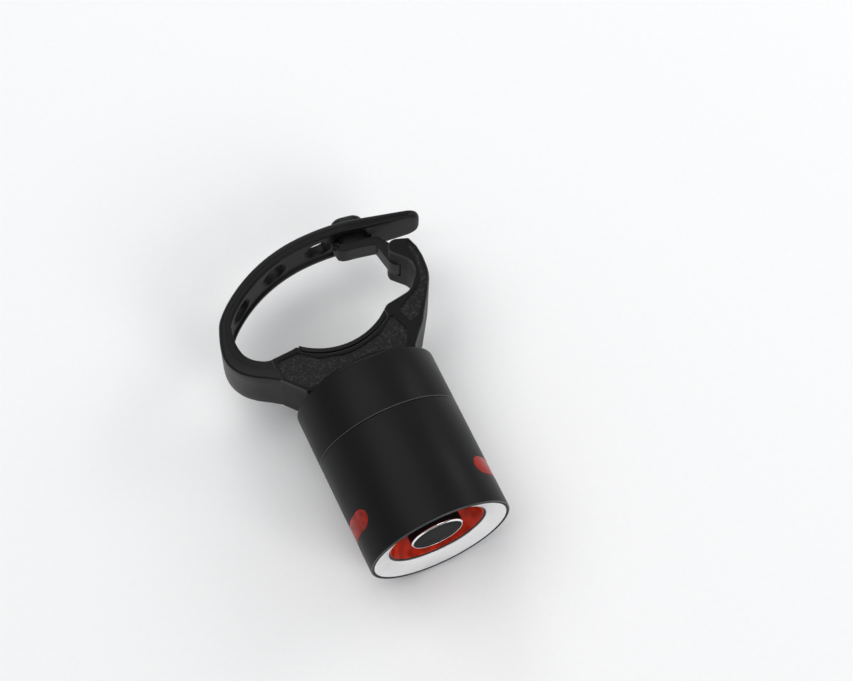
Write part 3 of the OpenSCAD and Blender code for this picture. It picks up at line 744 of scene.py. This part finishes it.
class REARLIGHT_OT_bracket(bpy.types.Operator):
    """Models the saddle bracket with its grained panels, catch arm and rubber pad"""

    bl_idname = "rear_light.bracket"
    bl_label = "Bracket"

    def execute(self, context):
        sizes = context.scene.rear_light_sizes
        half = HALF_W / MM
        seat = POST_R + PAD_T
        reach = math.degrees(math.asin(SADDLE_X / seat))
        saddle = arc((0, POST_H), seat, 270 + reach, 270 - reach, 40)
        pin = catch_pin()
        arm_x = pin[0] + ARM_REACH
        inner_x = arm_x - 2.7
        cheek = arc(pin, CHEEK_R, 75, 205, 10)
        right = rounded([
            (-BASE_X, FLARE_H, 0), (-FOOT_R, FOOT_H - 0.4, 1.2), (FOOT_R, FOOT_H - 0.4, 1.2),
            (BASE_X, FLARE_H, 8), (arm_x - 2.1, LEDGE_H + 0.9, 8), (arm_x - 0.35, LEDGE_H + 4, 8),
            (arm_x, pin[1] - 3.7, 5), (arm_x - 0.2, pin[1] - 1.3, 2), (arm_x - 0.9, pin[1] + 0.9, 0.6),
            (*cheek[0], 0)])
        inner = rounded([
            (*cheek[-1], 0), (inner_x, pin[1] - 3.7, 2.5), (inner_x, LEDGE_H + 5.5, 3),
            (inner_x - 2.6, LEDGE_H + 2.3, 3), (10.0, LEDGE_H + 1.4, 2.0), (SADDLE_X, SHOULDER_H + 0.1, 0.6),
            (*saddle[0], 0)])
        left = rounded([
            (*saddle[-1], 0), (-SADDLE_X, SHOULDER_H, 0.6), (-10.6, LEDGE_H + 0.25, 1.5),
            (-BASE_X, LEDGE_H, 0)])
        outline = right[:-1] + cheek + inner[1:-1] + saddle + left[1:]
        bracket = slab("bracket_block", outline, -half, half)
        merge_close(bracket, 0.12 * MM)
        round_edges(bracket, sizes.edge_round, 4, 40, clamp=False)
        foot_rings = [
            [on_mount(FOOT_R * math.cos(a), y, FOOT_R * math.sin(a))
             for a in (math.tau * i / 96 for i in range(96))] for y in (0.0, FOOT_H + 0.3)]
        combine(bracket, lofted("foot", foot_rings), "UNION")
        clear = KNUCKLE_R + PASS_GAP
        fork = arc(pin, clear, 0, 90, 10) + [(4.0, pin[1] + clear), (4.0, pin[1] - clear)]
        fork += arc(pin, clear, 270, 345, 8)
        combine(bracket, slab("fork", fork, -FORK_HALF, FORK_HALF))
        panel = rounded([
            (-14.1, 5.4, 0.6), (-10.7, 1.7, 1.5), (9.6, 1.7, 1.5), (FOOT_R + 0.4, 5.0, 1.0), (10.0, 9.3, 0.5),
            (6.6, 6.6, 1.5), (0.0, 4.95, 10.0), (-6.6, 6.6, 1.5), (-9.6, 9.3, 0.8), (-14.1, 9.1, 0.8)])
        side = rounded([
            (12.6, 6.2, 0.5), (14.7, 6.9, 0.5), (arm_x - 2.7, LEDGE_H + 0.9, 6),
            (arm_x - 0.85, LEDGE_H + 4, 6), (arm_x - 0.45, pin[1] - 3.7, 4),
            (arm_x - 0.65, pin[1] - 1.3, 1.5), (arm_x - 1.2, pin[1] + 0.3, 0.4),
            (arm_x - 1.8, pin[1] - 0.2, 0.3), (arm_x - 1.75, pin[1] - 3, 3),
            (arm_x - 1.9, LEDGE_H + 5.5, 3), (arm_x - 3.4, LEDGE_H + 2.6, 3), (11.6, 9.6, 0.6)])
        depth = sizes.panel_depth / MM
        for low, high in ((half - depth, half + 1), (-half - 1, -half + depth)):
            combine(bracket, slab("panel", panel, low, high))
            combine(bracket, slab("arm_panel", side, low, high))
        round_edges(bracket, 0.07 * MM, 2, 60)
        bracket.data.materials.append(bracket_black())
        bracket.data.materials.append(panel_black())
        bracket.data.materials.append(painted_bracket_edge_highlight())
        # Flat faces at the panel depth take the grain; tilted bevel faces above the foot take the edge
        # material, a painted highlight.
        for face in bracket.data.polygons:
            tilt = abs(face.normal.z)
            if abs(abs(face.center.z) / MM - (half - depth)) < 0.02 and tilt > 0.99:
                face.material_index = 1
            elif 0.15 < tilt < 0.97 and (face.center.y - CAP_Y) / MM > FOOT_H + 0.5:
                face.material_index = 2
        finish_piece(bracket, bracket_black(), "mount", "bracket_plastic", "bracket", flat=True)
        wide = math.degrees(math.asin((SADDLE_X - 0.02) / POST_R))
        lining = arc((0, POST_H), seat - 0.03, 270 - reach, 270 + reach, 40)
        lining += arc((0, POST_H), POST_R, 270 + wide, 270 - wide, 40)
        pad = slab("pad_lining", lining, -half - 0.12, half + 0.12)
        round_edges(pad, 0.25 * MM, 3, 50)
        finish_piece(pad, rubber_black(), "mount", "rubber", "saddle_pad")
        return {"FINISHED"}


def smooth_line(points, share):
    """The point at a share along a smooth curve through the points."""
    t = share * (len(points) - 1)
    i = min(int(t), len(points) - 2)
    t -= i
    a, b, c, d = (points[max(0, min(len(points) - 1, k))] for k in (i - 1, i, i + 1, i + 2))
    return tuple(
        b[n] + 0.5 * t * (c[n] - a[n] + t * (
            2 * a[n] - 5 * b[n] + 4 * c[n] - d[n] + t * (3 * (b[n] - c[n]) + d[n] - a[n])))
        for n in (0, 1))


def strap_section(half, thickness, rim, recess, soft):
    """Points round the strap's section as (z, depth), with round outer edges, a step and rims inside."""
    wide = min(soft, 0.44 * thickness, 0.45 * half)
    tight, lip = min(0.5, 0.2 * half), min(0.12, 0.03 * half)
    quarter = [math.radians(a) for a in (90, 72, 54, 36, 18, 0)]
    side = [(half * 0.5, 0.0)]
    side += [(half - wide + wide * math.cos(a), wide - wide * math.sin(a)) for a in quarter]
    side += [(half, 0.54 * thickness), (half - lip, 0.58 * thickness)]
    side += [(half - lip - tight + tight * math.cos(a), thickness - tight + tight * math.sin(a))
             for a in reversed(quarter)]
    edge = half - max(rim, lip + tight) if half > 4 else 0.6 * (half - lip - tight)
    floor = thickness - recess
    side += [(edge, thickness), (edge - 0.04 * half, thickness - recess / 2), (edge - 0.08 * half, floor)]
    side += [(0.3 * half, floor)]
    return [(0.0, 0.0)] + side + [(0.0, floor)] + [(-z, d) for z, d in reversed(side)]


def section_ring(outer, inner, half, rim, recess, soft=1.05):
    """The strap's section between an outer and an inner point of the mount plane."""
    thickness = math.dist(outer, inner)
    across = ((inner[0] - outer[0]) / thickness, (inner[1] - outer[1]) / thickness)
    return [
        on_mount(outer[0] + d * across[0], outer[1] + d * across[1], z)
        for z, d in strap_section(half, thickness, rim, recess, soft)]


class REARLIGHT_OT_strap(bpy.types.Operator):
    """Models the rubber strap in one length, from its root round to its tab"""

    bl_idname = "rear_light.strap"
    bl_label = "Strap"

    def rings(self, sizes, start, end, step=0.7):
        """Sections along the strap between two lengths from its root."""
        count = max(2, round((end - start) / step))
        rings = []
        for i in range(count + 1):
            s = start + (end - start) * i / count
            fade = max(0.0, min(1.0, (BEND_LEN + 3.0 - s) / 4.0))
            rings.append(section_ring(
                strap_point(s, 0), strap_point(s, strap_depth(s)), strap_half(s), sizes.strap_rim / MM,
                sizes.strap_recess / MM * fade))
        return rings

    def root_rings(self, sizes):
        """Sections of the swollen root, from inside the bracket's end to the bend of the strap."""
        outer = [(-14.3, 5.0), (-17.0, 6.8), (-19.4, 8.3), (-21.3, 10.1), (-22.5, 12.3), (-22.85, 14.6),
                 (-22.45, 17.1), (-21.75, 19.35), strap_point(ROOT_END, 0)]
        inner = [(-14.3, 10.1), (-15.6, 10.3), (-16.8, 10.9), (-18.1, 12.0), (-19.0, 13.4), (-19.4, 15.1),
                 (-19.45, 17.1), (-19.1, 19.0), strap_point(ROOT_END, STRAP_T)]
        steps, rings = 32, []
        for i in range(steps):
            share = i / steps
            swell = 1 - share * share * (3 - 2 * share)
            half = STRAP_HALF / MM + (HALF_W / MM + 0.01 - STRAP_HALF / MM) * swell
            rings.append(section_ring(
                smooth_line(outer, share), smooth_line(inner, share), half, sizes.strap_rim / MM,
                sizes.strap_recess / MM * max(0.0, share - 0.5) * 2, 0.35 + 0.7 * share))
        return rings

    def tab_rings(self, sizes):
        """Sections of the tab's rounded end."""
        rings, ease = [], 0.9
        for angle in (12, 24, 36, 48, 58, 66, 73, 79, 84, 88):
            s = STRAP_LEN - TAB_CORNER + TAB_CORNER * math.sin(math.radians(angle))
            past = max(0.0, s - STRAP_LEN + ease) / ease
            drop = 0.55 * (1 - math.sqrt(max(0.0, 1 - past ** 2)))
            rings.append(section_ring(
                strap_point(s, drop), strap_point(s, strap_depth(s) - drop), strap_half(s),
                sizes.strap_rim / MM, 0.0))
        return rings

    def slot(self, piece, s, length, width):
        """Cuts a slot with eased edges on the inner face."""
        inner = -strap_depth(s)
        combine(piece, strap_oblong("slot", s, [(length, width)] * 2, (2.0, -STRAP_T - 3)))
        combine(piece, strap_oblong(
            "ease", s, [(length + 0.1, width + 0.1), (length + 1.3, width + 1.3)],
            (inner + 0.75, inner + 0.15)))

    def execute(self, context):
        sizes = context.scene.rear_light_sizes
        band = self.rings(sizes, ROOT_END, STRAP_LEN - TAB_CORNER)
        strap = lofted("strap_band", self.root_rings(sizes) + band + self.tab_rings(sizes))
        for i in range(3):
            self.slot(strap, FIRST_SLOT + i * SLOT_PITCH, SLOT_LEN, SLOT_W)
        start, end = STUD_AT - STUD_LEN / 2 - PASS_GAP, STUD_AT + STUD_LEN / 2 + 0.8
        combine(strap, strap_oblong(
            "stud_slot", (start + end) / 2, [(end - start, STUD_W + 2 * PASS_GAP)] * 2, (2.0, -STRAP_T - 3)))
        finish_piece(strap, rubber_black(), None, "rubber", "strap_anchor", "strap")
        first = on_mount(*strap_point(SIDE_HINGE - 3.0, STRAP_T / 2))
        last = on_mount(*strap_point(SIDE_HINGE + 2.4, STRAP_T / 2))
        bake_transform(strap)
        return {"FINISHED"}


class REARLIGHT_OT_catch(bpy.types.Operator):
    """Models the catch plate with its knuckle and the stud through the strap"""

    bl_idname = "rear_light.catch"
    bl_label = "Catch"

    def execute(self, context):
        top = STRAP_T + PASS_GAP
        start, stop = STUD_AT - STUD_LEN / 2 - 1, STUD_AT + PIN_SET - 2.8
        upper = []
        for i in range(13):
            along = TIP_EASE + (stop - start - TIP_EASE) * i / 12
            dip = min(1.0, (along - TIP_EASE) / 1.8)
            upper.append(strap_point(start + along, top + PLATE_DROP * dip * dip * (3 - 2 * dip)))
        lower = [
            strap_point(stop - 0.65 - (stop - start - 3.25) * i / 6, top + CATCH_T) for i in range(7)]
        curl = [
            strap_point(start + u, top + d)
            for u, d in ((1.6, 2.46), (0.8, 2.05), (0.25, 1.45), (0.0, 0.75), (0.2, 0.2))]
        pin = catch_pin()
        knuckle = arc(pin, KNUCKLE_R, 71, -180, 28)
        plate = slab("catch_plate_body", upper + knuckle + lower + curl, -CATCH_HALF, CATCH_HALF)
        hole = [on_mount(x, y, -4) for x, y in arc(pin, PIN_BORE, 0, 345, 23)]
        combine(plate, lofted("hole", [hole, [p + Vector((0, 0, 8 * MM)) for p in hole]]))
        self.round_tip(plate, strap_at(start))
        merge_close(plate, 0.05 * MM)
        round_edges(plate, 0.22 * MM, 3, 40, clamp=False)
        black = moulded("Catch Black", (0.007, 0.007, 0.0073), 3400.0, 0.012, 0.4, (0.34, 0.44), spec=0.16)
        finish_piece(plate, black, "catch", "catch_plastic", "catch_plate", flat=True)
        dome = [(1.0, -top - PLATE_DROP), (1.0, 0.6), (0.985, 1.15), (0.95, 1.6), (0.88, 2.02), (0.76, 2.32),
                (0.6, 2.5), (0.4, STUD_RISE)]
        stud = strap_oblong(
            "stud", STUD_AT, [(STUD_LEN * k, STUD_W * k) for k, _ in dome], [h for _, h in dome])
        finish_piece(stud, black, "catch", "catch_plastic", "catch_stud")
        return {"FINISHED"}

    def round_tip(self, plate, tip):
        """Rounds the plate's free end in plan."""
        x, y, heading = tip
        c, s = math.cos(math.radians(heading)), math.sin(math.radians(heading))
        pick(plate)
        bpy.ops.object.mode_set(mode="EDIT")
        bpy.ops.mesh.select_mode(type="EDGE")
        bpy.ops.mesh.select_all(action="DESELECT")
        mesh = bmesh.from_edit_mesh(plate.data)
        for edge in mesh.edges:
            along = [(v.co.x / MM - x) * c + ((v.co.y - CAP_Y) / MM - y) * s for v in edge.verts]
            across = abs(edge.verts[0].co.z - edge.verts[1].co.z)
            edge.select = max(along) < 0.4 and across < 0.01 * MM
        bmesh.update_edit_mesh(plate.data)
        bpy.ops.mesh.bevel(offset=TIP_ROUND * MM, segments=8, affect="EDGES")
        bpy.ops.object.mode_set(mode="OBJECT")


class REARLIGHT_OT_neck(bpy.types.Operator):
    """Models the threaded neck that screws into the rear cap"""

    bl_idname = "rear_light.neck"
    bl_label = "Neck"

    def execute(self, context):
        sizes = context.scene.rear_light_sizes
        split = (SPLIT_Y - FRONT_Y) / MM
        end = split + 5.4
        neck = spun("neck_plug", [
            (0, end, 0), (11.3, end, 0.3), (NECK_R, end - 0.3, 0.2), (NECK_R, split + 1.9, 0),
            (11.9, split + 1.6, 0), (10.93, split + 1.6, 0.1), (10.93, split + 0.4, 0.1),
            (11.9, split + 0.4, 0.05), (11.9, split, 0), (12.6, split, 0), (12.6, split - 2.2, 0),
            (10.35, split - 2.2, 0), (10.35, end - 1.0, 0.3), (0, end - 1.0, 0)])
        mouth = [
            [Vector((u * MM, FRONT_Y + d * MM, v * MM)) for u, v in oblong(9.1, 3.4)]
            for d in (end - 2.0, end + 1.0)]
        combine(neck, lofted("mouth", mouth))
        combine(neck, self.thread(split + 2.35, end - 0.75, sizes.thread_pitch / MM), "UNION")
        finish_piece(neck, body_black(), "head", "black_anodised", "tail_plug")
        return {"FINISHED"}

    def thread(self, start, end, pitch):
        """A ridge that winds round the neck."""
        rings = []
        steps = round((end - start) / pitch * THREAD_STEPS)
        for i in range(steps + 1):
            a = math.tau * i / THREAD_STEPS
            fade = max(0.05, min(1.0, i / 8, (steps - i) / 8))
            middle = start + pitch * i / THREAD_STEPS
            crest = NECK_R + THREAD_RISE * fade
            rings.append([
                Vector((r * math.cos(a) * MM, FRONT_Y + (middle + d) * MM, r * math.sin(a) * MM))
                for r, d in ((11.4, -0.5), (crest, -0.1), (crest, 0.1), (11.4, 0.5))])
        return lofted("thread", rings)


class REARLIGHT_OT_inside(bpy.types.Operator):
    """Gives the pieces that keep their frame shape their finishes"""

    bl_idname = "rear_light.inside"
    bl_label = "Inside"

    def execute(self, context):
        steel = metal("Plain Steel", (0.5, 0.5, 0.52), (0.25, 0.4))
        gasket = bpy.data.materials["Gasket Black"]
        black = moulded("Inner Black", (0.03, 0.03, 0.032), 2800.0, 0.02, 0.5, (0.45, 0.6))
        green = moulded("Circuit Board", (0.012, 0.1, 0.035), 1500.0, 0.01, 0.3, (0.3, 0.42), light=1.3)
        white = moulded("Bright White", (0.78, 0.78, 0.77), 1800.0, 0.005, 0.2, (0.14, 0.22), light=1.1)
        finishes = {
            "cap_screws": steel, "strap_pin": steel, "catch_pin": steel, "board_screws": steel,
            "charge_socket": steel, "neck_seal": gasket, "button_seal": gasket, "tact_switch": black,
            "cell_cradle": black, "board_chips": black, "led_board": green, "main_board": green,
            "reflector": white,
            "leds": moulded("Phosphor", (0.8, 0.7, 0.36), 2600.0, 0.01, 0.3, (0.3, 0.4), light=1.15),
            "battery": moulded("Cell Wrap", (0.03, 0.11, 0.36), 700.0, 0.02, 0.3, (0.2, 0.3), light=1.2),
            "flex_cable": moulded("Amber Film", (0.5, 0.2, 0.02), 900.0, 0.01, 0.2, (0.2, 0.3), light=1.2),
            "switch_plunger": metal("Plain Brass", (0.72, 0.5, 0.2), (0.2, 0.34)),
        }
        for node, material in finishes.items():
            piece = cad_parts[node]
            piece.data.materials.clear()
            piece.data.materials.append(material)
        return {"FINISHED"}


class REARLIGHT_OT_stage(bpy.types.Operator):
    """Sets the pale floor, the soft lamps and the camera"""

    bl_idname = "rear_light.stage"
    bl_label = "Stage"

    def execute(self, context):
        scene = context.scene
        deselect_all()
        bpy.ops.mesh.primitive_plane_add(size=4.0, location=(0, 0, -BODY_R))
        floor = context.object
        floor.name = "floor"
        paper, tree, shader = new_material("Pale Paper")
        patches = place_group(tree, handling_group(), Scale=900.0, Low=0.0, High=1.0)
        tint(tree, shader, scene.rear_light_colours.floor, patches.outputs["Value"], 1.01, 0.2, 0.8)
        shader.inputs["Roughness"].default_value = 0.85
        floor.data.materials.append(paper)
        world = bpy.data.worlds.new("Studio")
        world.use_nodes = True
        sky = world.node_tree.nodes["Background"]
        sky.inputs["Color"].default_value = (0.9, 0.92, 0.95, 1.0)
        sky.inputs["Strength"].default_value = 0.3
        scene.world = world
        for name, place, size, power in LAMPS:
            lamp = bpy.data.lights.new(name, "AREA")
            lamp.size = size
            lamp.energy = power
            holder = bpy.data.objects.new(name, lamp)
            holder.location = place
            aim = Vector(LIT_POINT) - Vector(place)
            holder.rotation_euler = aim.to_track_quat("-Z", "Y").to_euler()
            scene.collection.objects.link(holder)
        back = Vector(VIEW_BACK)
        lens = bpy.data.cameras.new("photo_view")
        lens.sensor_width = 36.0
        lens.lens = VIEW_FOCAL * lens.sensor_width
        lens.shift_x, lens.shift_y = VIEW_SHIFT
        lens.clip_start = 0.01
        camera = bpy.data.objects.new("photo_view", lens)
        camera.location = Vector(VIEW_TARGET) + VIEW_DISTANCE * back
        camera.rotation_euler = (-back).to_track_quat("-Z", "Y").to_euler()
        scene.collection.objects.link(camera)
        scene.camera = camera
        scene.view_settings.view_transform = "Standard"
        return {"FINISHED"}


class REARLIGHT_PT_panel(bpy.types.Panel):
    """Lists the light's sizes, colours and pieces"""

    bl_idname = "REARLIGHT_PT_panel"
    bl_label = "Rear Light"
    bl_space_type = "VIEW_3D"
    bl_region_type = "UI"
    bl_category = "Rear Light"

    def draw(self, context):
        for group in (context.scene.rear_light_sizes, context.scene.rear_light_colours):
            for key in group.__annotations__:
                self.layout.prop(group, key)
        for operator in OPERATORS:
            self.layout.operator(operator.bl_idname)


OPERATORS = (
    REARLIGHT_OT_body, REARLIGHT_OT_front, REARLIGHT_OT_button, REARLIGHT_OT_bracket, REARLIGHT_OT_strap,
    REARLIGHT_OT_catch, REARLIGHT_OT_neck, REARLIGHT_OT_inside, REARLIGHT_OT_stage,
)
CLASSES = (RearLightSizes, RearLightColours, *OPERATORS, REARLIGHT_PT_panel)


def register():
    """Registers the light's classes and its settings on the scene."""
    for item in CLASSES:
        bpy.utils.register_class(item)
    bpy.types.Scene.rear_light_sizes = bpy.props.PointerProperty(type=RearLightSizes)
    bpy.types.Scene.rear_light_colours = bpy.props.PointerProperty(type=RearLightColours)


def unregister():
    """Removes the settings and the classes again."""
    del bpy.types.Scene.rear_light_colours
    del bpy.types.Scene.rear_light_sizes
    for item in reversed(CLASSES):
        bpy.utils.unregister_class(item)


def main():
    """Registers the classes and models every piece in order."""
    register()
    bpy.ops.rear_light.body()
    bpy.ops.rear_light.front()
    bpy.ops.rear_light.button()
    bpy.ops.rear_light.bracket()
    bpy.ops.rear_light.strap()
    bpy.ops.rear_light.catch()
    bpy.ops.rear_light.neck()
    bpy.ops.rear_light.inside()
    bpy.ops.rear_light.stage()


if __name__ == "__main__":
    main()
